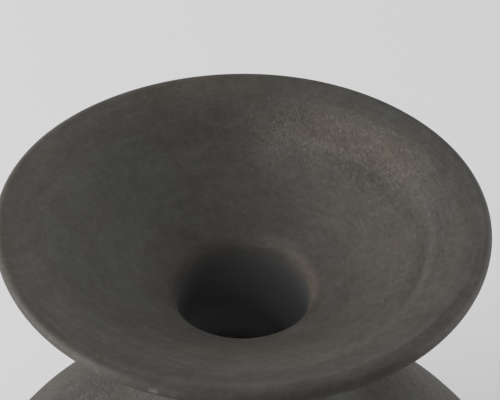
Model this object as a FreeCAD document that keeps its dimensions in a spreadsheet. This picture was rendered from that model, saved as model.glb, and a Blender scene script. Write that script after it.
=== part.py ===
"""Ceramic vase with a wide trumpet rim, thrown from one lump of stoneware.

The wall is one section turned about the vertical axis. It runs from the foot up over a round belly and
shoulder into a narrow neck, opens into a shallow funnel and ends in a full round lip. The foot ring is
then trimmed out of the underside.
"""
import FreeCAD, Part
import math
import os
import Sketcher

SIZES = {
    # Rim and funnel
    "rim_radius": 100.0,
    "wall": 5.4,
    "funnel_curve": 900.0,
    "funnel_drop": 45.9,
    "throat_curve": 12.0,
    "under_curve": 24.0,
    # One soft throwing ring in the funnel, set in from the rim
    "ring_inset": 25.0,
    "ring_curve": 7.0,
    "ring_depth": 0.8,
    "ring_edge_curve": 4.0,
    # Neck
    "neck_radius": 32.5,
    "neck_length": 23.3,
    "neck_base_curve": 40.0,
    "neck_base_rise": 116.0,
    # Body
    "belly_radius": 130.0,
    "belly_height": 95.0,
    "belly_curve": 50.0,
    "shoulder_curve": 120.0,
    "lower_curve": 130.0,
    # Foot
    "foot_radius": 60.0,
    "foot_height": 6.0,
    "foot_ring_width": 8.0,
    "foot_recess_depth": 5.0,
    "foot_edge_curve": 1.5,
    "foot_waist_curve": 2.0,
    "floor_thickness": 7.0,
    "floor_curve": 25.0,
}

# A sketch's own numbers for the places on a segment, for its origin and for its upright axis
START, END, CENTRE = range(1, 4)
ORIGIN = (-1, START)
VERTICAL_AXIS = -2


def make_sheet(doc):
    """The driving sizes, in millimetres."""
    sheet = doc.addObject("Spreadsheet::Sheet", "Sizes")
    for row, (alias, value) in enumerate(SIZES.items(), start=1):
        sheet.set(f"A{row}", alias)
        sheet.set(f"B{row}", str(value))
        sheet.setAlias(f"B{row}", alias)
    doc.recompute()
    return sheet


def circles_meet(centre_a, radius_a, centre_b, radius_b, left):
    """Where two circles cross, on the left or right of the way from the first centre to the second."""
    step = (centre_b[0] - centre_a[0], centre_b[1] - centre_a[1])
    gap = math.hypot(*step)
    along = (radius_a ** 2 - radius_b ** 2 + gap ** 2) / (2 * gap)
    across = math.sqrt(radius_a ** 2 - along ** 2) * (1 if left else -1)
    return (
        centre_a[0] + (along * step[0] - across * step[1]) / gap,
        centre_a[1] + (along * step[1] + across * step[0]) / gap,
    )


def toward(centre, point, distance):
    """The point at a distance from a centre, in the direction of another point."""
    reach = math.hypot(point[0] - centre[0], point[1] - centre[1])
    return (
        centre[0] + (point[0] - centre[0]) * distance / reach,
        centre[1] + (point[1] - centre[1]) * distance / reach,
    )


def section_centres(s):
    """Centres of the section's arcs, as (radius, height), so that the sketch opens in its final shape."""
    belly = (s.belly_radius - s.belly_curve, s.belly_height)
    neck_base = (s.neck_radius + s.neck_base_curve, s.belly_height + s.neck_base_rise)
    shoulder = circles_meet(
        belly, s.shoulder_curve - s.belly_curve, neck_base, s.shoulder_curve + s.neck_base_curve, True
    )
    foot_top = (s.foot_radius, s.foot_height)
    lower = circles_meet(belly, s.lower_curve - s.belly_curve, foot_top, s.lower_curve, False)

    # The funnel is worked out below a rim at height zero, then lifted onto the neck
    lip = (s.rim_radius - s.wall / 2, -s.wall / 2)
    throat = (s.neck_radius - s.wall + s.throat_curve, -s.funnel_drop)
    funnel = circles_meet(lip, s.funnel_curve - s.wall / 2, throat, s.funnel_curve - s.throat_curve, True)
    under_x = s.neck_radius + s.under_curve
    under_reach = s.funnel_curve - s.wall - s.under_curve
    under = (under_x, funnel[1] + math.sqrt(under_reach ** 2 - (under_x - funnel[0]) ** 2))
    ring_reach = s.funnel_curve + s.ring_curve - s.ring_depth
    ring_x = s.rim_radius - s.ring_inset
    ring = (ring_x, funnel[1] + math.sqrt(ring_reach ** 2 - (ring_x - funnel[0]) ** 2))
    lift = s.belly_height + s.neck_base_rise + s.neck_length - under[1]

    floor_top = s.foot_recess_depth + s.floor_thickness
    floor_reach = s.lower_curve - s.wall - s.floor_curve
    floor_y = floor_top + s.floor_curve
    floor = (lower[0] + math.sqrt(floor_reach ** 2 - (floor_y - lower[1]) ** 2), floor_y)

    centres = {"belly": belly, "neck_base": neck_base, "shoulder": shoulder, "lower": lower, "floor": floor}
    for name, centre in (("lip", lip), ("throat", throat), ("funnel", funnel), ("under", under), ("ring", ring)):
        centres[name] = (centre[0], centre[1] + lift)
    return centres


class Section:
    """A closed outline in a sketch, drawn segment by segment in one direction."""

    def __init__(self, sketch):
        self.sketch = sketch
        self.index = {}
        self.ends = {}

    def line(self, name, first, last):
        shape = Part.LineSegment(FreeCAD.Vector(*first, 0), FreeCAD.Vector(*last, 0))
        self.index[name] = self.sketch.addGeometry(shape, False)
        self.ends[name] = (START, END)

    def arc(self, name, centre, first, last, anticlockwise):
        begin, finish = (first, last) if anticlockwise else (last, first)
        angles = [math.atan2(p[1] - centre[1], p[0] - centre[0]) for p in (begin, finish)]
        radius = math.hypot(first[0] - centre[0], first[1] - centre[1])
        circle = Part.Circle(FreeCAD.Vector(*centre, 0), FreeCAD.Vector(0, 0, 1), radius)
        self.index[name] = self.sketch.addGeometry(Part.ArcOfCircle(circle, *angles), False)
        self.ends[name] = (START, END) if anticlockwise else (END, START)

    def first(self, name):
        return self.index[name], self.ends[name][0]

    def last(self, name):
        return self.index[name], self.ends[name][1]

    def centre(self, name):
        return self.index[name], CENTRE

    def constrain(self, kind, *places):
        return self.sketch.addConstraint(Sketcher.Constraint(kind, *places))

    def measure(self, kind, places):
        if kind == "Radius":
            return self.sketch.Geometry[places[0]].Radius
        span = self.sketch.getPoint(*places[2:]) - self.sketch.getPoint(*places[:2])
        return {"DistanceX": span.x, "DistanceY": span.y, "Distance": span.Length}[kind]

    def drive(self, label, expression, kind, *places):
        """A dimension that starts at the drawn size and then follows the sheet."""
        number = self.constrain(kind, *places, self.measure(kind, places))
        self.sketch.renameConstraint(number, label)
        self.sketch.setExpression(f"Constraints.{label}", expression)

    def join(self, before, after):
        self.constrain("Coincident", *self.last(before), *self.first(after))

    def blend(self, before, after):
        self.constrain("Tangent", *self.last(before), *self.first(after))

    def share_centre(self, one, other):
        self.constrain("Coincident", *self.centre(one), *self.centre(other))


def attach(body, sketch, role):
    plane = next(f for f in body.Origin.OriginFeatures if f.Role == role)
    sketch.AttachmentSupport = [(plane, "")]
    sketch.MapMode = "FlatFace"


def draw_wall(section, s):
    """The wall's outline: along the foot, up the outside, over the lip, down the inside, along the floor."""
    c = section_centres(s)
    wall_x = s.neck_radius - s.wall
    neck_low = c["neck_base"][1]
    neck_high = neck_low + s.neck_length
    floor_top = s.foot_recess_depth + s.floor_thickness

    # Where neighbouring arcs touch on the outside
    foot_top = (s.foot_radius, s.foot_height)
    lower_belly = toward(c["lower"], c["belly"], s.lower_curve)
    belly_shoulder = toward(c["shoulder"], c["belly"], s.shoulder_curve)
    shoulder_neck = toward(c["shoulder"], c["neck_base"], s.shoulder_curve)
    under_side = toward(c["funnel"], c["under"], s.funnel_curve - s.wall)
    side_lip = toward(c["funnel"], c["lip"], s.funnel_curve - s.wall)

    # Where they touch on the inside
    lip_funnel = toward(c["funnel"], c["lip"], s.funnel_curve)
    ring_outer = circles_meet(c["funnel"], s.funnel_curve, c["ring"], s.ring_curve, False)
    ring_inner = circles_meet(c["funnel"], s.funnel_curve, c["ring"], s.ring_curve, True)
    funnel_throat = toward(c["funnel"], c["throat"], s.funnel_curve)
    throat_neck = (wall_x, c["throat"][1])
    shoulder_neck_in = toward(c["shoulder"], c["neck_base"], s.shoulder_curve - s.wall)
    belly_shoulder_in = toward(c["shoulder"], c["belly"], s.shoulder_curve - s.wall)
    lower_belly_in = toward(c["lower"], c["belly"], s.lower_curve - s.wall)
    lower_floor = toward(c["lower"], c["floor"], s.lower_curve - s.wall)
    floor_end = (c["floor"][0], floor_top)

    section.line("base", (0, 0), (s.foot_radius, 0))
    section.line("foot_side", (s.foot_radius, 0), foot_top)
    section.arc("lower", c["lower"], foot_top, lower_belly, True)
    section.arc("belly", c["belly"], lower_belly, belly_shoulder, True)
    section.arc("shoulder", c["shoulder"], belly_shoulder, shoulder_neck, True)
    section.arc("neck_base", c["neck_base"], shoulder_neck, (s.neck_radius, neck_low), False)
    section.line("neck", (s.neck_radius, neck_low), (s.neck_radius, neck_high))
    section.arc("under", c["under"], (s.neck_radius, neck_high), under_side, False)
    section.arc("side", c["funnel"], under_side, side_lip, False)
    section.arc("lip", c["lip"], side_lip, lip_funnel, True)
    section.arc("funnel_outer", c["funnel"], lip_funnel, ring_outer, True)
    section.arc("ring", c["ring"], ring_outer, ring_inner, False)
    section.arc("funnel_inner", c["funnel"], ring_inner, funnel_throat, True)
    section.arc("throat", c["throat"], funnel_throat, throat_neck, True)
    section.line("neck_in", throat_neck, (wall_x, neck_low))
    section.arc("neck_base_in", c["neck_base"], (wall_x, neck_low), shoulder_neck_in, True)
    section.arc("shoulder_in", c["shoulder"], shoulder_neck_in, belly_shoulder_in, False)
    section.arc("belly_in", c["belly"], belly_shoulder_in, lower_belly_in, False)
    section.arc("lower_in", c["lower"], lower_belly_in, lower_floor, False)
    section.arc("floor_round", c["floor"], lower_floor, floor_end, False)
    section.line("floor", floor_end, (0, floor_top))
    section.line("axis", (0, floor_top), (0, 0))


def join_wall(section):
    """Corners where the outline turns, smooth joints elsewhere, and the arcs that share a centre."""
    section.constrain("Coincident", *section.first("base"), *ORIGIN)
    section.join("base", "foot_side")
    section.join("foot_side", "lower")
    outside = ("lower", "belly", "shoulder", "neck_base", "neck", "under", "side", "lip", "funnel_outer")
    for before, after in zip(outside, outside[1:]):
        section.blend(before, after)
    section.join("funnel_outer", "ring")
    section.join("ring", "funnel_inner")
    inside = ("funnel_inner", "throat", "neck_in", "neck_base_in", "shoulder_in", "belly_in", "lower_in",
              "floor_round", "floor")
    for before, after in zip(inside, inside[1:]):
        section.blend(before, after)
    section.join("floor", "axis")
    section.constrain("Coincident", *section.last("axis"), *ORIGIN)
    section.constrain("PointOnObject", *section.last("floor"), VERTICAL_AXIS)

    section.constrain("Horizontal", section.index["base"])
    section.constrain("Vertical", section.index["foot_side"])
    section.constrain("Vertical", section.index["neck"])
    section.constrain("Vertical", section.index["neck_in"])
    section.constrain("Horizontal", section.index["floor"])

    section.share_centre("side", "funnel_outer")
    section.share_centre("funnel_outer", "funnel_inner")
    section.constrain("Equal", section.index["funnel_outer"], section.index["funnel_inner"])
    for name in ("neck_base", "shoulder", "belly", "lower"):
        section.share_centre(name, name + "_in")


def size_wall(section):
    """Every dimension of the outline, bound to the sheet."""
    index = section.index
    radii = {
        "lower": "Sizes.lower_curve",
        "belly": "Sizes.belly_curve",
        "shoulder": "Sizes.shoulder_curve",
        "neck_base": "Sizes.neck_base_curve",
        "neck_base_in": "Sizes.neck_base_curve + Sizes.wall",
        "under": "Sizes.under_curve",
        "side": "Sizes.funnel_curve - Sizes.wall",
        "funnel_outer": "Sizes.funnel_curve",
        "ring": "Sizes.ring_curve",
        "throat": "Sizes.throat_curve",
        "floor_round": "Sizes.floor_curve",
    }
    for name, expression in radii.items():
        section.drive(name + "_radius", expression, "Radius", index[name])

    section.drive("foot_reach", "Sizes.foot_radius", "DistanceX", *ORIGIN, *section.last("base"))
    section.drive("foot_rise", "Sizes.foot_height", "DistanceY", *section.first("foot_side"),
                  *section.last("foot_side"))
    section.drive("belly_reach", "Sizes.belly_radius - Sizes.belly_curve", "DistanceX", *ORIGIN,
                  *section.centre("belly"))
    section.drive("belly_rise", "Sizes.belly_height", "DistanceY", *ORIGIN, *section.centre("belly"))
    section.drive("neck_rise", "Sizes.neck_base_rise", "DistanceY", *section.centre("belly"),
                  *section.centre("neck_base"))
    section.drive("neck_reach", "Sizes.neck_radius", "DistanceX", *ORIGIN, *section.first("neck"))
    section.drive("neck_run", "Sizes.neck_length", "DistanceY", *section.first("neck"),
                  *section.last("neck"))
    section.drive("lip_reach", "Sizes.rim_radius - Sizes.wall / 2", "DistanceX", *ORIGIN,
                  *section.centre("lip"))
    section.drive("throat_drop", "Sizes.funnel_drop - Sizes.wall / 2", "DistanceY",
                  *section.centre("throat"), *section.centre("lip"))
    section.drive("ring_reach", "Sizes.rim_radius - Sizes.ring_inset", "DistanceX", *ORIGIN,
                  *section.centre("ring"))
    section.drive("ring_stand", "Sizes.funnel_curve + Sizes.ring_curve - Sizes.ring_depth", "Distance",
                  *section.centre("funnel_outer"), *section.centre("ring"))
    section.drive("floor_rise", "Sizes.foot_recess_depth + Sizes.floor_thickness", "DistanceY", *ORIGIN,
                  *section.last("floor"))


def turn_wall(body, s):
    """The thrown wall: its section turned once round the axis."""
    sketch = body.newObject("Sketcher::SketchObject", "WallSection")
    attach(body, sketch, "XZ_Plane")
    section = Section(sketch)
    draw_wall(section, s)
    join_wall(section)
    size_wall(section)
    wall = body.newObject("PartDesign::Revolution", "ThrownWall")
    wall.Profile = sketch
    wall.ReferenceAxis = (sketch, ["V_Axis"])
    wall.Angle = 360
    return wall


def trim_foot(body, s):
    """The recess trimmed out of the underside, which leaves the foot ring standing."""
    reach = s.foot_radius - s.foot_ring_width
    depth = s.foot_recess_depth
    sketch = body.newObject("Sketcher::SketchObject", "RecessSection")
    attach(body, sketch, "XZ_Plane")
    section = Section(sketch)
    section.line("mouth", (0, 0), (reach, 0))
    section.line("side", (reach, 0), (reach, depth))
    section.line("roof", (reach, depth), (0, depth))
    section.line("axis", (0, depth), (0, 0))
    section.constrain("Coincident", *section.first("mouth"), *ORIGIN)
    for before, after in (("mouth", "side"), ("side", "roof"), ("roof", "axis"), ("axis", "mouth")):
        section.join(before, after)
    section.constrain("Horizontal", section.index["mouth"])
    section.constrain("Vertical", section.index["side"])
    section.constrain("Horizontal", section.index["roof"])
    section.constrain("Vertical", section.index["axis"])
    section.drive("reach", "Sizes.foot_radius - Sizes.foot_ring_width", "DistanceX", *ORIGIN,
                  *section.last("mouth"))
    section.drive("depth", "Sizes.foot_recess_depth", "DistanceY", *section.first("side"),
                  *section.last("side"))
    recess = body.newObject("PartDesign::Groove", "FootRecess")
    recess.Profile = sketch
    recess.ReferenceAxis = (sketch, ["V_Axis"])
    recess.Angle = 360
    return recess


def circle_edges(shape, radius, height, slack=1e-3):
    """Names of the edges that run round the axis at a radius and a height."""
    names = []
    for number, edge in enumerate(shape.Edges, start=1):
        if not isinstance(edge.Curve, Part.Circle):
            continue
        off_radius = abs(edge.Curve.Radius - radius)
        off_height = abs(edge.Curve.Center.z - height)
        if off_radius < slack and off_height < slack:
            names.append(f"Edge{number}")
    return names


def soften(body, base, name, places, expression):
    """A fillet on the round edges at the given radii and heights."""
    edges = [edge for place in places for edge in circle_edges(base.Shape, *place)]
    fillet = body.newObject("PartDesign::Fillet", name)
    fillet.Base = (base, edges)
    fillet.setExpression("Radius", expression)
    return fillet


def make_vase(doc, s):
    body = doc.addObject("PartDesign::Body", "Vase")
    body.Label = "vase"
    turn_wall(body, s)
    recess = trim_foot(body, s)
    doc.recompute()

    inner_foot = s.foot_radius - s.foot_ring_width
    standing = [(s.foot_radius, 0), (inner_foot, 0), (inner_foot, s.foot_recess_depth)]
    foot = soften(body, recess, "FootEdges", standing, "Sizes.foot_edge_curve")
    doc.recompute()

    waist = soften(body, foot, "FootWaist", [(s.foot_radius, s.foot_height)], "Sizes.foot_waist_curve")
    doc.recompute()

    c = section_centres(s)
    ring = [circles_meet(c["funnel"], s.funnel_curve, c["ring"], s.ring_curve, left) for left in (True, False)]
    soften(body, waist, "RingEdges", ring, "Sizes.ring_edge_curve")
    doc.recompute()
    return body


def main():
    doc = FreeCAD.newDocument("CeramicVase")
    sheet = make_sheet(doc)
    vase = make_vase(doc, sheet)
    for item in doc.Objects:
        if "Invalid" in item.State or "Error" in item.State:
            raise RuntimeError(f"{item.Name} did not compute: {item.State}")
    shape = vase.Shape
    if shape.isNull() or not shape.isValid() or len(shape.Solids) != 1:
        raise RuntimeError("the vase is not one valid solid")
    os.makedirs("parts", exist_ok=True)
    shape.exportStep(f"parts/{vase.Label}.step")


main()
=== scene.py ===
"""Looks for the thrown stoneware vase: its hand-made surface, its clay, and a plain studio round it."""
import math

import bpy
import numpy as np
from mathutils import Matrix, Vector


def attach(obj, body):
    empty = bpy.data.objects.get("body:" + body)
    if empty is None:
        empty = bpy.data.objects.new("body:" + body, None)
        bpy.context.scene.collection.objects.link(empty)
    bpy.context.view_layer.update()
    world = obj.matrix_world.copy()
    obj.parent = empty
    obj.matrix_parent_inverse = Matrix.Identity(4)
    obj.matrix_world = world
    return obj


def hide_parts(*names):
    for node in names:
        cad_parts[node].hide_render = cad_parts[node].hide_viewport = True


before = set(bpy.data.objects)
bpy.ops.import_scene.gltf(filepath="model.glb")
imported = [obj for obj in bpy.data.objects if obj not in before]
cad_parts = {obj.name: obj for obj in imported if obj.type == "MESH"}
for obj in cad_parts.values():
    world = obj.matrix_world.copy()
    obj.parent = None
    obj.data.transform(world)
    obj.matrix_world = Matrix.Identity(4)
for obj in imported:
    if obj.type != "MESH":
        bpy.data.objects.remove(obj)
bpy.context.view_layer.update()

MM = 0.001

# The wall's section, in millimetres, as the solid has it
RIM_RADIUS = 100.0
WALL = 5.4
FUNNEL_CURVE = 900.0
FUNNEL_DROP = 45.9
THROAT_CURVE = 12.0
UNDER_CURVE = 24.0
NECK_RADIUS = 32.5
NECK_LENGTH = 23.3
NECK_BASE_CURVE = 40.0
NECK_BASE_RISE = 116.0
BELLY_RADIUS = 130.0
BELLY_HEIGHT = 95.0
BELLY_CURVE = 50.0
SHOULDER_CURVE = 120.0
LOWER_CURVE = 130.0
FOOT_RADIUS = 60.0
FOOT_HEIGHT = 6.0
FOOT_RING_WIDTH = 8.0
FOOT_RECESS_DEPTH = 5.0
FOOT_EDGE_CURVE = 1.5
FOOT_WAIST_CURVE = 2.0
FLOOR_THICKNESS = 7.0
FLOOR_CURVE = 25.0

# How finely the surface is drawn: points round the axis, and steps along the section in millimetres
TURNS = 264
FINE, MEDIUM, COARSE = 0.95, 2.8, 6.0
# Steps round the lip and the foot's waist, and round the soft edges of the foot ring
ROUND_STEP, EDGE_STEP = 0.6, 0.5


def circles_meet(centre_a, radius_a, centre_b, radius_b, left):
    """Where two circles cross, on the left or right of the way from the first centre to the second."""
    step = (centre_b[0] - centre_a[0], centre_b[1] - centre_a[1])
    gap = math.hypot(*step)
    along = (radius_a ** 2 - radius_b ** 2 + gap ** 2) / (2 * gap)
    across = math.sqrt(radius_a ** 2 - along ** 2) * (1 if left else -1)
    return (
        centre_a[0] + (along * step[0] - across * step[1]) / gap,
        centre_a[1] + (along * step[1] + across * step[0]) / gap,
    )


def toward(centre, point, distance):
    """The point at a distance from a centre, in the direction of another point."""
    reach = math.hypot(point[0] - centre[0], point[1] - centre[1])
    return (
        centre[0] + (point[0] - centre[0]) * distance / reach,
        centre[1] + (point[1] - centre[1]) * distance / reach,
    )


class Outline:
    """The section as a row of (radius, height) points, each with the zone that it belongs to."""

    def __init__(self, first):
        self.points = [first]
        self.zones = ["foot"]

    def add(self, points, zone):
        """More points, all of one zone."""
        self.points.extend(points)
        self.zones.extend([zone] * len(points))

    def line(self, last, step, zone):
        """A straight run to a last point, in equal steps."""
        first = self.points[-1]
        count = max(1, round(math.dist(first, last) / step))
        out, up = last[0] - first[0], last[1] - first[1]
        ways = [i / count for i in range(1, count + 1)]
        self.add([(first[0] + out * way, first[1] + up * way) for way in ways], zone)

    def arc(self, centre, last, step, zone, anticlockwise):
        """An arc about a centre to a last point, in equal steps."""
        first = self.points[-1]
        start, end = (math.atan2(p[1] - centre[1], p[0] - centre[0]) for p in (first, last))
        sweep = (end - start) % (2 * math.pi) if anticlockwise else -((start - end) % (2 * math.pi))
        radius = math.dist(centre, first)
        count = max(2, round(abs(sweep) * radius / step))
        angles = [start + sweep * i / count for i in range(1, count + 1)]
        points = [(centre[0] + radius * math.cos(a), centre[1] + radius * math.sin(a)) for a in angles]
        self.add(points, zone)


def wall_outline():
    """The outline from the middle of the underside, up the outside, over the lip and down inside."""
    belly = (BELLY_RADIUS - BELLY_CURVE, BELLY_HEIGHT)
    neck_low = BELLY_HEIGHT + NECK_BASE_RISE
    neck_high = neck_low + NECK_LENGTH
    neck_base = (NECK_RADIUS + NECK_BASE_CURVE, neck_low)
    shoulder = circles_meet(
        belly, SHOULDER_CURVE - BELLY_CURVE, neck_base, SHOULDER_CURVE + NECK_BASE_CURVE, True
    )
    lower = circles_meet(belly, LOWER_CURVE - BELLY_CURVE, (FOOT_RADIUS, FOOT_HEIGHT), LOWER_CURVE, False)

    # The funnel is worked out below a rim at height zero, then lifted onto the neck
    lip = (RIM_RADIUS - WALL / 2, -WALL / 2)
    throat = (NECK_RADIUS - WALL + THROAT_CURVE, -FUNNEL_DROP)
    funnel = circles_meet(lip, FUNNEL_CURVE - WALL / 2, throat, FUNNEL_CURVE - THROAT_CURVE, True)
    under_x = NECK_RADIUS + UNDER_CURVE
    under_reach = FUNNEL_CURVE - WALL - UNDER_CURVE
    under = (under_x, funnel[1] + math.sqrt(under_reach ** 2 - (under_x - funnel[0]) ** 2))
    lift = neck_high - under[1]
    lip, throat, funnel, under = ((x, y + lift) for x, y in (lip, throat, funnel, under))

    # The foot ring, with its recess and softened edges
    soft = FOOT_EDGE_CURVE
    inner = FOOT_RADIUS - FOOT_RING_WIDTH
    recess = FOOT_RECESS_DEPTH
    waist_reach = LOWER_CURVE + FOOT_WAIST_CURVE
    waist_x = FOOT_RADIUS + FOOT_WAIST_CURVE
    waist = (waist_x, lower[1] - math.sqrt(waist_reach ** 2 - (waist_x - lower[0]) ** 2))
    out = Outline((0.0, recess))
    out.line((inner - soft, recess), COARSE, "foot")
    out.arc((inner - soft, recess - soft), (inner, recess - soft), EDGE_STEP, "foot", False)
    out.line((inner, soft), MEDIUM, "foot")
    out.arc((inner + soft, soft), (inner + soft, 0.0), EDGE_STEP, "foot", True)
    out.line((FOOT_RADIUS - soft, 0.0), MEDIUM, "foot")
    out.arc((FOOT_RADIUS - soft, soft), (FOOT_RADIUS, soft), EDGE_STEP, "foot", True)
    out.line((FOOT_RADIUS, waist[1]), MEDIUM, "foot")
    out.arc(waist, toward(lower, waist, LOWER_CURVE), ROUND_STEP, "foot", False)

    # The outside
    out.arc(lower, toward(lower, belly, LOWER_CURVE), MEDIUM, "body", True)
    out.arc(belly, toward(shoulder, belly, SHOULDER_CURVE), MEDIUM, "body", True)
    out.arc(shoulder, toward(shoulder, neck_base, SHOULDER_CURVE), MEDIUM, "body", True)
    out.arc(neck_base, (NECK_RADIUS, neck_low), MEDIUM, "body", False)
    out.line((NECK_RADIUS, neck_high), MEDIUM, "body")
    out.arc(under, toward(funnel, under, FUNNEL_CURVE - WALL), MEDIUM, "under", False)
    out.arc(funnel, toward(funnel, lip, FUNNEL_CURVE - WALL), MEDIUM, "under", False)

    # Over the lip and down the inside
    out.arc(lip, toward(funnel, lip, FUNNEL_CURVE), ROUND_STEP, "lip", True)
    out.arc(funnel, toward(funnel, throat, FUNNEL_CURVE), FINE, "funnel", True)
    out.arc(throat, (NECK_RADIUS - WALL, throat[1]), FINE, "throat", True)
    out.line((NECK_RADIUS - WALL, neck_low), MEDIUM, "inside")
    out.arc(neck_base, toward(shoulder, neck_base, SHOULDER_CURVE - WALL), COARSE, "inside", True)
    out.arc(shoulder, toward(shoulder, belly, SHOULDER_CURVE - WALL), COARSE, "inside", False)
    out.arc(belly, toward(lower, belly, LOWER_CURVE - WALL), COARSE, "inside", False)
    floor_top = FOOT_RECESS_DEPTH + FLOOR_THICKNESS
    floor_reach = LOWER_CURVE - WALL - FLOOR_CURVE
    floor_y = floor_top + FLOOR_CURVE
    floor = (lower[0] + math.sqrt(floor_reach ** 2 - (floor_y - lower[1]) ** 2), floor_y)
    out.arc(lower, toward(lower, floor, LOWER_CURVE - WALL), COARSE, "inside", False)
    out.arc(floor, (floor[0], floor_top), COARSE, "inside", False)
    out.line((0.0, floor_top), COARSE, "inside")
    return out


# What the thrower's hands left, in millimetres. Azimuth 0 faces the camera and 90 is on its right.
# Waves of the rim once, twice, three and four times round: cosine and sine parts, outward and upward
RIM_SPREAD = ((0.60, 0.17), (0.76, 0.41), (0.49, 0.12), (-0.15, -0.20))
RIM_LIFT = ((-0.79, -0.20), (-0.34, -0.09), (0.07, -0.14), (0.28, -0.06))
# How much smaller the rim came out all round, how far the top settled, and how far it lies to the right
RIM_SHRINK = 0.15
TOP_SINK = 1.15
TOP_SHIFT = -0.71
# The rise of the thrower's fingers in one turn, and the depth of their marks outside and in the neck
SPIRAL = 9.0
OUTSIDE_MARKS, NECK_MARKS = 0.06, 0.10
# How far the outside stands back, to keep its unevenness within the solid's surface
OUTSIDE_BACK = 0.17
# Slow waves in the outside and in the funnel: seed, most of them in one turn, shortest, size
OUTSIDE_WAVES = (5, 4, 40.0, 0.16)
FUNNEL_WAVES = (3, 5, 26.0, 0.05)
# Their lengths along the section, as times the shortest
WAVE_LENGTHS = (1.0, 1.7, 3.1)
# Soft steps in the funnel: radius, radius it drifts to, azimuth of its middle, half its run, width, height
STEPS = (
    (76.4, 75.2, 18, 44, 1.9, 0.52),
    (75.4, 77.2, 76, 30, 1.9, 0.50),
    (78.0, 82.0, 122, 28, 4.0, 0.22),
    (74.0, 79.0, 128, 34, 6.5, 0.36),
    (72.0, 73.5, 138, 26, 1.7, 0.20),
    (73.0, 73.0, -163, 24, 2.5, 0.15),
    (70.0, 66.0, -85, 32, 4.0, 0.16),
    (78.0, 76.0, 5, 36, 3.0, 0.12),
    (62.0, 60.0, -50, 26, 2.0, 0.06),
)
# Swells of the funnel, flatter at the lip: azimuth, half the run, height, radii of start, crest and end
SWELLS = (
    (85, 110, 0.80, 62.0, 84.0, 98.5),
    (-85, 100, 0.90, 60.0, 82.0, 98.5),
    (10, 100, 1.20, 84.0, 94.0, 99.6),
    (27, 48, 0.50, 86.0, 93.5, 99.0),
)
# The part of half its run in which a step or a swell dies away at each end
STEP_FADE, SWELL_FADE = 0.5, 0.6
# Where the unevenness sets in, by radius: its start, and the stretch in which it grows to full size
WALL_FROM = (0.0, 12.0)
FUNNEL_FROM = (33.0, 12.0)
RIM_FROM = (36.0, 62.0)
# The same by height
NECK_MARKS_FROM = (205.0, 10.0)
TOP_FROM = (215.0, 25.0)
# Where it ends, and the stretch before it: the funnel's waves by radius, the marks in the neck by height
FUNNEL_WAVES_TO = (RIM_RADIUS - 1.5, 4.0)
NECK_MARKS_TO = (236.0, 8.0)


def smooth(x):
    """Nothing below zero and one above one, with a soft rise between."""
    x = np.clip(x, 0.0, 1.0)
    return x * x * (3 - 2 * x)


def rising(value, start, stretch):
    """Nothing up to a start, and one after a stretch."""
    return smooth((value - start) / stretch)


def falling(value, end, stretch):
    """One until a stretch before an end, and nothing after it."""
    return smooth((end - value) / stretch)


def waves(turn, run, seed, most_turns, shortest, amplitude):
    """Slow unevenness: waves round the axis and along the section, with seeded phases."""
    rng = np.random.default_rng(seed)
    total = np.zeros(np.broadcast(turn, run).shape)
    for count in range(1, most_turns + 1):
        for times in WAVE_LENGTHS:
            phase, lean = rng.uniform(0, 2 * math.pi, 2)
            length = shortest * times
            total += np.cos(count * turn + phase) * np.cos(2 * math.pi * run / length + lean) / count
    return total * amplitude / 2


def from_azimuth(turn, azimuth):
    """Degrees round the axis from an azimuth, -180 to 180."""
    return (np.degrees(turn) - azimuth + 180) % 360 - 180


def step(radius, turn, start, end, azimuth, half, width, height):
    """A soft step up and outward, where a finger rested while the clay turned."""
    away = from_azimuth(turn, azimuth)
    at = start + (end - start) * rising(away, -half, 2 * half)
    strength = falling(np.abs(away), half, STEP_FADE * half)
    x = (radius - at) / width
    return height * strength * x * np.exp((1 - x * x) / 2)


def swell(radius, turn, azimuth, half, height, start, crest, end):
    """A low swell of the funnel that rises to a crest and falls again towards the lip."""
    form = rising(radius, start, crest - start) * falling(radius, end, end - crest)
    return height * form * falling(np.abs(from_azimuth(turn, azimuth)), half, SWELL_FADE * half)


def funnel_relief(radius, turn):
    """What stands out of the funnel's plain curve, in millimetres."""
    relief = sum(step(radius, turn, *mark) for mark in STEPS)
    for mark in SWELLS:
        relief = relief + swell(radius, turn, *mark)
    return relief * rising(radius, *FUNNEL_FROM)


def rim_wave(turn, parts):
    """A wave of the rim from its cosine and sine parts, once, twice and more times round."""
    return sum(a * np.cos(n * turn) + b * np.sin(n * turn) for n, (a, b) in enumerate(parts, start=1))


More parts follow.
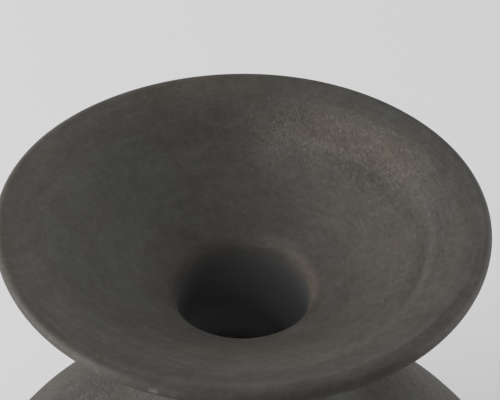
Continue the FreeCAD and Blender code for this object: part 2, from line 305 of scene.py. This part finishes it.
def thrown_surface(outline):
    """The outline turned round the axis, with the unevenness of a hand-thrown wall, as rows of points."""
    flat = np.array(outline.points)
    zones = np.array(outline.zones)
    along = np.gradient(flat, axis=0)
    along /= np.linalg.norm(along, axis=1)[:, None]
    outward = np.stack([along[:, 1], -along[:, 0]], axis=1)
    steps = np.linalg.norm(np.diff(flat, axis=0), axis=1)
    run = np.concatenate([[0.0], np.cumsum(steps)])[:, None]

    turn = np.linspace(0, 2 * math.pi, TURNS, endpoint=False)[None, :]
    radius, height = flat[:, 0][:, None], flat[:, 1][:, None]
    outside = np.isin(zones, ["body", "under"])[:, None]
    funnel = (zones == "funnel")[:, None]
    inside = (zones == "inside")[:, None]
    rim_zones = np.isin(zones, ["under", "lip", "funnel"])[:, None]
    above_foot = (zones != "foot")[:, None]

    # Outward from the wall: the fingers' spiral, slow waves, and the funnel's steps and swells
    spiral = np.cos(2 * math.pi * run / SPIRAL + turn)
    uneven = waves(turn, run, *OUTSIDE_WAVES)
    push = np.where(outside, OUTSIDE_MARKS * spiral + uneven - OUTSIDE_BACK, 0.0) * np.ones_like(turn)
    rough = falling(radius, *FUNNEL_WAVES_TO) * waves(turn, run, *FUNNEL_WAVES)
    push = np.where(funnel, funnel_relief(radius, turn) + rough, push)
    neck_inside = inside * rising(height, *NECK_MARKS_FROM) * falling(height, *NECK_MARKS_TO)
    push = push + neck_inside * NECK_MARKS * spiral
    push *= rising(radius, *WALL_FROM)

    # The rim is out of round and out of level, and the whole top has settled and leans
    top = rising(height, *TOP_FROM) * above_foot
    rim = rising(radius, *RIM_FROM) * rim_zones
    spread, raised = (rim_wave(turn, parts) for parts in (RIM_SPREAD, RIM_LIFT))
    r = radius + outward[:, 0][:, None] * push + rim * (spread - RIM_SHRINK)
    z = height + outward[:, 1][:, None] * push + rim * raised - TOP_SINK * top
    x = r * np.sin(turn) + TOP_SHIFT * top
    y = -r * np.cos(turn)
    return np.stack([x, y, z * np.ones_like(turn)], axis=2) * MM


def skin(name, rows):
    """A closed smooth mesh over rows of points, whose first and last rows are single points on the axis."""
    count = len(rows) - 2
    points = np.concatenate([rows[0][:1], rows[1:-1].reshape(-1, 3), rows[-1][:1]])
    here = np.arange(TURNS)
    after = (here + 1) % TURNS
    faces = [(0, 1 + int(a), 1 + int(b)) for a, b in zip(after, here)]
    for i in range(count - 1):
        low, high = 1 + i * TURNS, 1 + (i + 1) * TURNS
        faces += [(low + int(a), low + int(b), high + int(b), high + int(a)) for a, b in zip(here, after)]
    last = 1 + count * TURNS
    faces += [(last, last - TURNS + int(a), last - TURNS + int(b)) for a, b in zip(here, after)]
    mesh = bpy.data.meshes.new(name)
    mesh.from_pydata(points.tolist(), [], faces)
    mesh.polygons.foreach_set("use_smooth", [True] * len(mesh.polygons))
    mesh.update()
    piece = bpy.data.objects.new(name, mesh)
    bpy.context.scene.collection.objects.link(piece)
    return piece


def to_linear(value):
    """One channel of a colour as a screen shows it, 0 to 255, in the render's linear values."""
    shown = value / 255
    return shown / 12.92 if value <= 10 else ((shown + 0.055) / 1.055) ** 2.4


def linear(red, green, blue):
    """A colour as a screen shows it, 0 to 255, in the render's linear values."""
    return (to_linear(red), to_linear(green), to_linear(blue), 1.0)


class Nodes:
    """Short calls for building a material's nodes."""

    def __init__(self, name):
        self.material = bpy.data.materials.new(name)
        self.material.use_nodes = True
        self.tree = self.material.node_tree
        self.tree.nodes.clear()

    def feed(self, node, key, value):
        """A link or a plain value for one of a node's inputs."""
        if isinstance(value, bpy.types.NodeSocket):
            self.tree.links.new(value, node.inputs[key])
        else:
            node.inputs[key].default_value = value

    def add(self, kind, inputs=None, **settings):
        """A node with its settings and inputs."""
        node = self.tree.nodes.new(kind)
        for key, value in settings.items():
            setattr(node, key, value)
        for key, value in (inputs or {}).items():
            self.feed(node, key, value)
        return node

    def math(self, operation, *values):
        """The result of one sum."""
        return self.add("ShaderNodeMath", dict(enumerate(values)), operation=operation).outputs[0]

    def product(self, *values):
        """All the values multiplied together."""
        total = values[0]
        for value in values[1:]:
            total = self.math("MULTIPLY", total, value)
        return total

    def combine(self, x, y, z):
        """A vector from its three parts."""
        return self.add("ShaderNodeCombineXYZ", {"X": x, "Y": y, "Z": z}).outputs[0]

    def noise(self, vector, scale, detail, rough):
        """Cloudy noise, about a half on average."""
        settings = {"Vector": vector, "Scale": scale, "Detail": detail, "Roughness": rough}
        return self.add("ShaderNodeTexNoise", settings).outputs["Fac"]

    def band(self, value, low, high, to_low=0.0, to_high=1.0):
        """A soft change from one number to another while a value goes from low to high."""
        settings = {"Value": value, "From Min": low, "From Max": high, "To Min": to_low, "To Max": to_high}
        return self.add("ShaderNodeMapRange", settings, interpolation_type="SMOOTHSTEP").outputs[0]

    def mix(self, factor, one, other, blend="MIX"):
        """Two colours mixed, by the mix node's inputs 0, 6 and 7, which are those for colours."""
        node = self.add("ShaderNodeMix", data_type="RGBA", blend_type=blend)
        for key, value in ((0, factor), (6, one), (7, other)):
            self.feed(node, key, value)
        return node.outputs[2]

    def shade(self, colour, rough, specular, **inputs):
        """The finished material, from one plain shader."""
        shader = self.add("ShaderNodeBsdfPrincipled", {"Base Color": colour, "Roughness": rough, **inputs})
        shader.inputs["Specular IOR Level"].default_value = specular
        self.add("ShaderNodeOutputMaterial", {"Surface": shader.outputs[0]})
        return self.material


# A patch is at full strength in this part of its size. Patches set in between these heights, in metres
PATCH_CORE = 0.3
PATCH_FROM = (0.20, 0.22)
# How much a turning streak follows the height beside the radius, where the wall is steep
STREAK_CLIMB = 0.3
# Keeps the radius above zero on the axis
TINY = 1e-9


class Polar:
    """Radius, and how near a point is to an azimuth, for patches that follow the thrown form."""

    def __init__(self, n, place):
        self.n = n
        split = n.add("ShaderNodeSeparateXYZ", {0: place})
        self.x, self.y, self.z = split.outputs
        square = n.math("ADD", n.math("MULTIPLY", self.x, self.x), n.math("MULTIPLY", self.y, self.y))
        self.radius = n.math("SQRT", n.math("ADD", square, TINY))
        self.across = n.math("DIVIDE", self.x, self.radius)
        self.along = n.math("DIVIDE", self.y, self.radius)

    def patch(self, radius, azimuth, spread, half):
        """One in the middle of a patch of the rim and nothing outside it, in millimetres and degrees."""
        n, a = self.n, math.radians(azimuth)
        right = n.math("MULTIPLY", self.across, math.sin(a))
        near = n.math("SUBTRACT", right, n.math("MULTIPLY", self.along, math.cos(a)))
        round_axis = n.band(near, math.cos(math.radians(half)), math.cos(math.radians(half * PATCH_CORE)))
        off = n.math("ABSOLUTE", n.math("SUBTRACT", self.radius, radius * MM))
        out = n.band(off, spread * PATCH_CORE * MM, spread * MM, 1.0, 0.0)
        return n.product(round_axis, out, n.band(self.z, *PATCH_FROM))

    def streaks(self, turns, across, detail, rough):
        """Noise drawn out round the axis, as a turning wheel leaves it."""
        n = self.n
        level = n.math("MULTIPLY_ADD", self.z, STREAK_CLIMB, self.radius)
        vector = n.combine(
            n.math("MULTIPLY", self.across, turns),
            n.math("MULTIPLY", self.along, turns),
            n.math("MULTIPLY", level, across),
        )
        return n.noise(vector, 1.0, detail, rough)


# The clay's colours, as a screen shows them
DARK_CLAY = (69, 65, 61)
PALE_CLAY = (74, 70, 64)
BLUE_GREY = (68, 68, 67)
BROWN = (78, 71, 63)
NECK_GREY = (85, 85, 85)
# Deep in the neck: a darker grey that is painted shade, and a pale grey that is painted light
DEEP_SHADED_GREY = (74, 74, 74)
DEEP_PAINTED_LIGHT = (140, 140, 140)

# The clay's noises: scale, detail, roughness
CLOUD = (24.0, 3.0, 0.55)
BLOTCH = (90.0, 3.0, 0.6)
MOTTLE = (300.0, 2.0, 0.6)
GRAIN = (850.0, 3.0, 0.65)
GRIT_SCALE = 1000.0
# Turning streaks: scale round the axis, scale outward, detail, roughness
STREAKS = (3.0, 260.0, 3.0, 0.55)
FINE_STREAKS = (9.0, 620.0, 2.0, 0.55)
# The noise values between which a soft change runs
WIDE, MIDDLE, NARROW = (0.30, 0.70), (0.33, 0.67), (0.35, 0.65)
PALE_VALUES = (0.36, 0.64)
COOL_VALUES = (0.42, 0.60)
COOL_STRENGTH = 0.5
# How far each noise lightens and darkens the clay
CLOUD_SWING = 0.03
BLOTCH_SWING = 0.05
MOTTLE_SWING = 0.08
STREAK_SWING = 0.05
FINE_STREAK_SWING = 0.03
# How far sand changes the tone, and single grains of grit do: the cell values that are grains, and change
SAND_SWING = 0.16
GRIT = ((0.88, 1.0, 0.45), (0.12, 0.0, -0.25))

# Heights below are in metres, and across goes from -1 on the left to 1 on the right of the axis.
# Where the neck's inside begins, at the throat: heights and radii of its soft border
INSIDE_HEIGHT = (0.2435, 0.249)
INSIDE_RADIUS = (29.0 * MM, 30.5 * MM)
# Between these heights the sandy body goes over into the smoother rim. Strength of sand below and above
BODY_TO_RIM = (0.20, 0.22)
SANDINESS = (0.95, 0.28)
# Strength of the fine furrows in the relief, below and above, and of the mottling beside the grain
FURROWS = (0.15, 0.5)
MOTTLE_RELIEF = 0.8
RELIEF_DEPTH = 0.5 * MM
ROUGHNESS = (0.62, 0.74)
SPECULAR = 0.3
# Painted light low on the left of the body, on the side that faces the left lamp
LIT_FLANK_ACROSS = (-0.85, -0.35)
LIT_FLANK_HEIGHT = (0.172, 0.190)
FLANK_PAINTED_LIGHT = 0.2
# Painted shade at the foot of the neck, under the rim: where it sets in and ends. On the right it sets in
# lower, and below it the belly has painted light
NECK_FOOT_PAINTED_SHADE = 0.28
NECK_SHADE_FROM = (0.172, 0.188)
NECK_SHADE_TO = (0.198, 0.225)
RIGHT_SHADE_ACROSS = (0.2, 0.7)
RIGHT_SHADE_FROM = (0.153, 0.167)
RIGHT_BELLY_PAINTED_LIGHT = -0.10
# Inside the neck: where the deeper grey, which is painted shade, turns to the upper one, and the bounds and
# tilt of a ring of painted light deep down
NECK_GREY_HEIGHT = (0.200, 0.228)
LIT_RING_FROM = (0.175, 0.190)
LIT_RING_TO = (0.195, 0.219)
LIT_RING_ACROSS = (0.2, 0.9)
LIT_RING_TILT = 0.014

# Patches of the rim and throat painted paler or darker, partly the clay's own uneven tone and partly painted
# light and shade where the lamps and the relief leave the shading short: radius, azimuth, spread, half its
# run, change
TONE_AND_LIGHT_PATCHES = (
    (81, 136, 15, 42, 0.20),
    (70, 123, 5, 26, -0.15),
    (73, 38, 6, 30, 0.06),
    (67, 145, 9, 14, 0.08),
    (66, 161, 12, 18, 0.32),
    (70, -35, 5, 22, 0.09),
    (50, 150, 12, 25, 0.07),
    (46, 90, 9, 35, -0.07),
    (52, 110, 14, 40, 0.05),
    (90, 105, 4, 62, -0.14),
    (96, 132, 7, 30, -0.10),
    (70, 72, 4, 22, -0.15),
    (76, -100, 6, 30, 0.08),
    (73, -8, 14, 30, 0.06),
    (42, 60, 5, 20, -0.12),
    (84, 20, 6, 25, -0.09),
    (89.5, 34, 3.5, 24, -0.08),
    (82, -38, 14, 40, 0.09),
    (94, -6, 8, 22, 0.14),
    (95, -132, 6, 24, 0.24),
    (88, -85, 14, 70, 0.16),
    (66, -80, 12, 30, -0.06),
    (36, -105, 8, 50, -0.13),
    (34, 15, 4, 30, 0.12),
    (78, -166, 13, 18, -0.12),
    (93.5, 18, 4, 38, 0.08),
    (98.5, 20, 3, 24, -0.16),
    (64, -5, 26, 40, 0.15),
    (28.5, 112, 3, 40, 0.28),
    (31, 148, 3.5, 28, 0.26),
    (30, 168, 4, 20, 0.10),
    (27.5, 86, 3, 30, 0.16),
    # Along the lip's edge: painted highlights where the rounded lip catches the lamps from the right and
    # behind, partly paler worn clay; the last one, at the front, painted shade
    (101, 72, 3.4, 40, 1.00),
    (101, -55, 3, 30, 0.45),
    (101, -145, 4, 60, 0.35),
    (101, 155, 4, 50, 0.30),
    (101, 5, 5, 35, -0.20),
)
# Patches with more brown in them: radius, azimuth, spread, half its run, strength
BROWNS = (
    (78, 144, 12, 38, 0.55),
    (28.5, 104, 3.5, 50, 0.7),
    (60, 20, 30, 60, 0.4),
    (56, 110, 22, 50, 0.4),
    (66, -100, 10, 25, 0.3),
    (92, -168, 8, 20, 0.4),
)
# Patches with more blue-grey in them
BLUES = (
    (62, -110, 36, 70, 0.7),
    (78, -25, 20, 50, 0.5),
    (94, 120, 5, 45, 0.6),
    (40, -50, 20, 40, 0.4),
)
# Patches with more sand in them
SANDS = (
    (70, 115, 24, 100, 0.22),
    (76, 143, 18, 42, 0.4),
)
# Nicks in the lip, where paler clay shows: place in millimetres, reach, change
NICKS = (
    ((-34.2, -95.2, 286.0), 1.6, 0.85),
    ((-32.4, -95.8, 286.0), 1.6, 1.15),
    ((-25.6, -97.6, 286.4), 2.4, 0.3),
    ((-54.0, -84.8, 284.5), 2.3, 0.4),
)


class Clay:
    """The stoneware's noises, and what is made of them: its colour, its shades of tone with painted light
    and shade among them, and its relief.
    """

    def __init__(self, n):
        self.n = n
        self.place = n.add("ShaderNodeTexCoord").outputs["Object"]
        self.polar = Polar(n, self.place)
        self.cloud = n.noise(self.place, *CLOUD)
        self.blotch = n.noise(self.place, *BLOTCH)
        self.mottle = n.noise(self.place, *MOTTLE)
        self.grain = n.noise(self.place, *GRAIN)
        cells = n.add("ShaderNodeTexVoronoi", {"Vector": self.place, "Scale": GRIT_SCALE}).outputs["Color"]
        self.grit = n.add("ShaderNodeSeparateColor", {"Color": cells}).outputs["Red"]
        self.streak = self.polar.streaks(*STREAKS)
        self.fine_streak = self.polar.streaks(*FINE_STREAKS)
        below = n.band(self.polar.z, *INSIDE_HEIGHT, 1.0, 0.0)
        self.inside = n.math("MULTIPLY", below, n.band(self.polar.radius, *INSIDE_RADIUS, 1.0, 0.0))
        self.sandy = n.band(self.polar.z, *BODY_TO_RIM, *SANDINESS)
        for *patch, strength in SANDS:
            self.sandy = n.math("MULTIPLY_ADD", self.polar.patch(*patch), strength, self.sandy)

    def body_colour(self):
        """Dark warm clay, cooler along some streaks and blotches, with browner and bluer patches."""
        n = self.n
        colour = n.mix(n.band(self.cloud, *PALE_VALUES), linear(*DARK_CLAY), linear(*PALE_CLAY))
        drawn = n.math("ADD", n.math("MULTIPLY", self.streak, 0.5), n.math("MULTIPLY", self.blotch, 0.5))
        cool = n.math("MULTIPLY", n.band(drawn, *COOL_VALUES), COOL_STRENGTH)
        colour = n.mix(cool, colour, linear(*BLUE_GREY))
        for patches, tint in ((BROWNS, BROWN), (BLUES, BLUE_GREY)):
            for *patch, strength in patches:
                here = n.math("MULTIPLY", self.polar.patch(*patch), strength)
                colour = n.mix(here, colour, linear(*tint))
        return colour

    def noise_tone(self):
        """Lighter and darker with the noises, the sand and the single grains of grit."""
        n = self.n
        tone = n.band(self.cloud, *WIDE, 1 - CLOUD_SWING, 1 + CLOUD_SWING)
        swings = (
            (self.blotch, NARROW, BLOTCH_SWING),
            (self.mottle, MIDDLE, MOTTLE_SWING),
            (self.streak, NARROW, STREAK_SWING),
            (self.fine_streak, WIDE, FINE_STREAK_SWING),
        )
        for noise, values, swing in swings:
            tone = n.math("MULTIPLY", tone, n.band(noise, *values, 1 - swing, 1 + swing))
        sand = n.band(self.grain, *WIDE, -SAND_SWING, SAND_SWING)
        for low, high, change in GRIT:
            sand = n.math("ADD", sand, n.band(self.grit, low, high, 0.0, change))
        return n.math("MULTIPLY", tone, n.math("MULTIPLY_ADD", sand, self.sandy, 1.0))

    def flank_painted_light(self):
        """Painted light low on the left of the body, where the left lamp falls."""
        n, polar = self.n, self.polar
        left = n.band(polar.across, *LIT_FLANK_ACROSS, 1.0, 0.0)
        low = n.band(polar.z, *LIT_FLANK_HEIGHT, 1.0, 0.0)
        return n.math("MULTIPLY_ADD", n.math("MULTIPLY", left, low), FLANK_PAINTED_LIGHT, 1.0)

    def neck_foot_painted_shade(self):
        """Painted shade round the foot of the neck under the rim, reaching further down on the right, with
        painted light on the belly below it on the right.
        """
        n, polar = self.n, self.polar
        right = n.band(polar.z, *RIGHT_SHADE_FROM, RIGHT_BELLY_PAINTED_LIGHT, NECK_FOOT_PAINTED_SHADE)
        right = n.math("MULTIPLY", n.band(polar.across, *RIGHT_SHADE_ACROSS), right)
        foot = n.math("ADD", right, n.band(polar.z, *NECK_SHADE_FROM, 0.0, NECK_FOOT_PAINTED_SHADE))
        foot = n.math("MULTIPLY", foot, n.band(polar.z, *NECK_SHADE_TO, 1.0, 0.0))
        return n.math("SUBTRACT", 1.0, foot)

    def tone(self):
        """Every change of tone together, multiplied, with painted light and shade among them: one where the
        clay keeps its own colour.
        """
        n = self.n
        tone = self.noise_tone()
        for *patch, change in TONE_AND_LIGHT_PATCHES:
            tone = n.math("MULTIPLY", tone, n.math("MULTIPLY_ADD", self.polar.patch(*patch), change, 1.0))
        # Painted light on the left flank and painted shade round the foot of the neck, multiplied into the
        # tone
        tone = n.product(tone, self.flank_painted_light(), self.neck_foot_painted_shade())
        for spot, reach, change in NICKS:
            ends = {0: self.place, 1: Vector(spot) * MM}
            distance = n.add("ShaderNodeVectorMath", ends, operation="DISTANCE").outputs["Value"]
            nick = n.band(distance, PATCH_CORE * reach * MM, reach * MM, 1 + change, 1.0)
            tone = n.math("MULTIPLY", tone, nick)
        return tone

    def inside_colour_and_light(self):
        """Smooth grey inside the neck, with painted shade that makes it darker downward, and a ring of
        painted light deep down that fades to the right.
        """
        n, polar = self.n, self.polar
        tilted = n.math("MULTIPLY_ADD", polar.across, LIT_RING_TILT, polar.z)
        painted_light = n.product(
            n.band(tilted, *LIT_RING_TO, 1.0, 0.0),
            n.band(polar.across, *LIT_RING_ACROSS, 1.0, 0.0),
            n.band(polar.z, *LIT_RING_FROM),
        )
        grey = n.mix(n.band(polar.z, *NECK_GREY_HEIGHT), linear(*DEEP_SHADED_GREY), linear(*NECK_GREY))
        return n.mix(painted_light, grey, linear(*DEEP_PAINTED_LIGHT))

    def colour(self):
        """The whole colour, outside and inside, with the painted light and shade in it."""
        n, tone = self.n, self.tone()
        colour = n.mix(1.0, self.body_colour(), n.combine(tone, tone, tone), "MULTIPLY")
        return n.mix(self.inside, colour, self.inside_colour_and_light())

    def bump(self):
        """The relief of sand and fine furrows, outside and in the funnel but not inside the neck."""
        n = self.n
        sand = n.math("MULTIPLY_ADD", self.mottle, MOTTLE_RELIEF, self.grain)
        sand = n.math("MULTIPLY", sand, self.sandy)
        furrows = n.math("MULTIPLY", self.fine_streak, n.band(self.polar.z, *BODY_TO_RIM, *FURROWS))
        relief = n.math("MULTIPLY", n.math("ADD", furrows, sand), n.math("SUBTRACT", 1.0, self.inside))
        inputs = {"Height": relief, "Strength": 1.0, "Distance": RELIEF_DEPTH}
        return n.add("ShaderNodeBump", inputs).outputs[0]


def stoneware():
    """Matt dark clay, mottled brown and blue-grey under a sandy grain, smooth and grey in the neck, with
    painted light and shade in its tone.
    """
    n = Nodes("stoneware")
    clay = Clay(n)
    rough = n.band(clay.cloud, *WIDE, *ROUGHNESS)
    return n.shade(clay.colour(), rough, SPECULAR, Normal=clay.bump())


def make_vase():
    """The vase, which stands for the solid and rides on the only body."""
    vase = skin("thrown_vase", thrown_surface(wall_outline()))
    vase.data.materials.append(stoneware())
    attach(vase, "root")
    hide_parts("vase")
    return vase


# The studio's floor, with its half width in metres
FLOOR_HALF = 6.0
PAPER = (211, 211, 212)
PAPER_ROUGHNESS = 0.9
PAPER_SPECULAR = 0.1
# Its soft boxes: name, azimuth and height in degrees, width in metres, light level on the vase
LAMPS = (
    ("left_softbox", 270, 15, 1.7, 1.00),
    ("back_right_softbox", 120, 15, 2.6, 0.54),
    ("front_left_softbox", 300, 45, 3.6, 0.34),
)
LAMP_DISTANCE = 4.0
AMBIENT = 0.377
# The middle of the rim, in millimetres above the floor. The lamps face it, and the camera's place follows it
RIM_HEIGHT = 288.85


def make_floor():
    """A plain pale floor of paper."""
    half = FLOOR_HALF
    corners = [(-half, -half, 0), (half, -half, 0), (half, half, 0), (-half, half, 0)]
    mesh = bpy.data.meshes.new("studio_floor")
    mesh.from_pydata(corners, [], [(0, 1, 2, 3)])
    floor = bpy.data.objects.new("studio_floor", mesh)
    bpy.context.scene.collection.objects.link(floor)
    mesh.materials.append(Nodes("studio_paper").shade(linear(*PAPER), PAPER_ROUGHNESS, PAPER_SPECULAR))


def make_lights():
    """Three round soft boxes that face the rim, and an even white world round them."""
    aim = Vector((0, 0, RIM_HEIGHT * MM))
    for name, azimuth, rise, width, level in LAMPS:
        turn, up = math.radians(azimuth), math.radians(rise)
        way = Vector((math.sin(turn) * math.cos(up), -math.cos(turn) * math.cos(up), math.sin(up)))
        lamp = bpy.data.lights.new(name, "AREA")
        lamp.shape = "DISK"
        lamp.size = width
        lamp.energy = level * (math.pi * LAMP_DISTANCE) ** 2
        holder = bpy.data.objects.new(name, lamp)
        holder.location = aim + way * LAMP_DISTANCE
        holder.rotation_euler = way.to_track_quat("Z", "Y").to_euler()
        bpy.context.scene.collection.objects.link(holder)
    world = bpy.data.worlds.new("studio")
    bpy.context.scene.world = world
    world.use_nodes = True
    world.node_tree.nodes["Background"].inputs["Color"].default_value = (1, 1, 1, 1)
    world.node_tree.nodes["Background"].inputs["Strength"].default_value = AMBIENT


# The photograph's camera: where the middle of the rim lies in the picture, and from where it is seen
PICTURE = (500, 400)
RIM_IN_PICTURE = (244.3, 217.0)
FOCAL_PIXELS = 2000.0
SENSOR = 36.0
CAMERA_RISE = 39.42
CAMERA_DISTANCE = 796.4


def make_camera():
    """The camera, level from side to side and turned so that the rim lies where the photograph has it."""
    rise = math.radians(CAMERA_RISE)
    back = Vector((0, -math.cos(rise), math.sin(rise)))
    camera = bpy.data.cameras.new("camera")
    camera.sensor_width = SENSOR
    camera.lens = SENSOR * FOCAL_PIXELS / PICTURE[0]
    holder = bpy.data.objects.new("camera", camera)
    holder.location = (Vector((0, 0, RIM_HEIGHT)) + back * CAMERA_DISTANCE) * MM
    across = (RIM_IN_PICTURE[0] - PICTURE[0] / 2) / FOCAL_PIXELS
    down = (RIM_IN_PICTURE[1] - PICTURE[1] / 2) / FOCAL_PIXELS
    yaw = math.asin(-across / (math.hypot(across, down, 1.0) * math.cos(rise)))
    pitch = math.atan2(math.sin(rise), math.cos(yaw) * math.cos(rise)) - math.atan(down)
    holder.rotation_euler = (math.pi / 2 - pitch, 0.0, -yaw)
    bpy.context.scene.collection.objects.link(holder)
    bpy.context.scene.camera = holder


make_camera()
make_vase()
make_floor()
make_lights()
bpy.context.scene.view_settings.view_transform = "Standard"
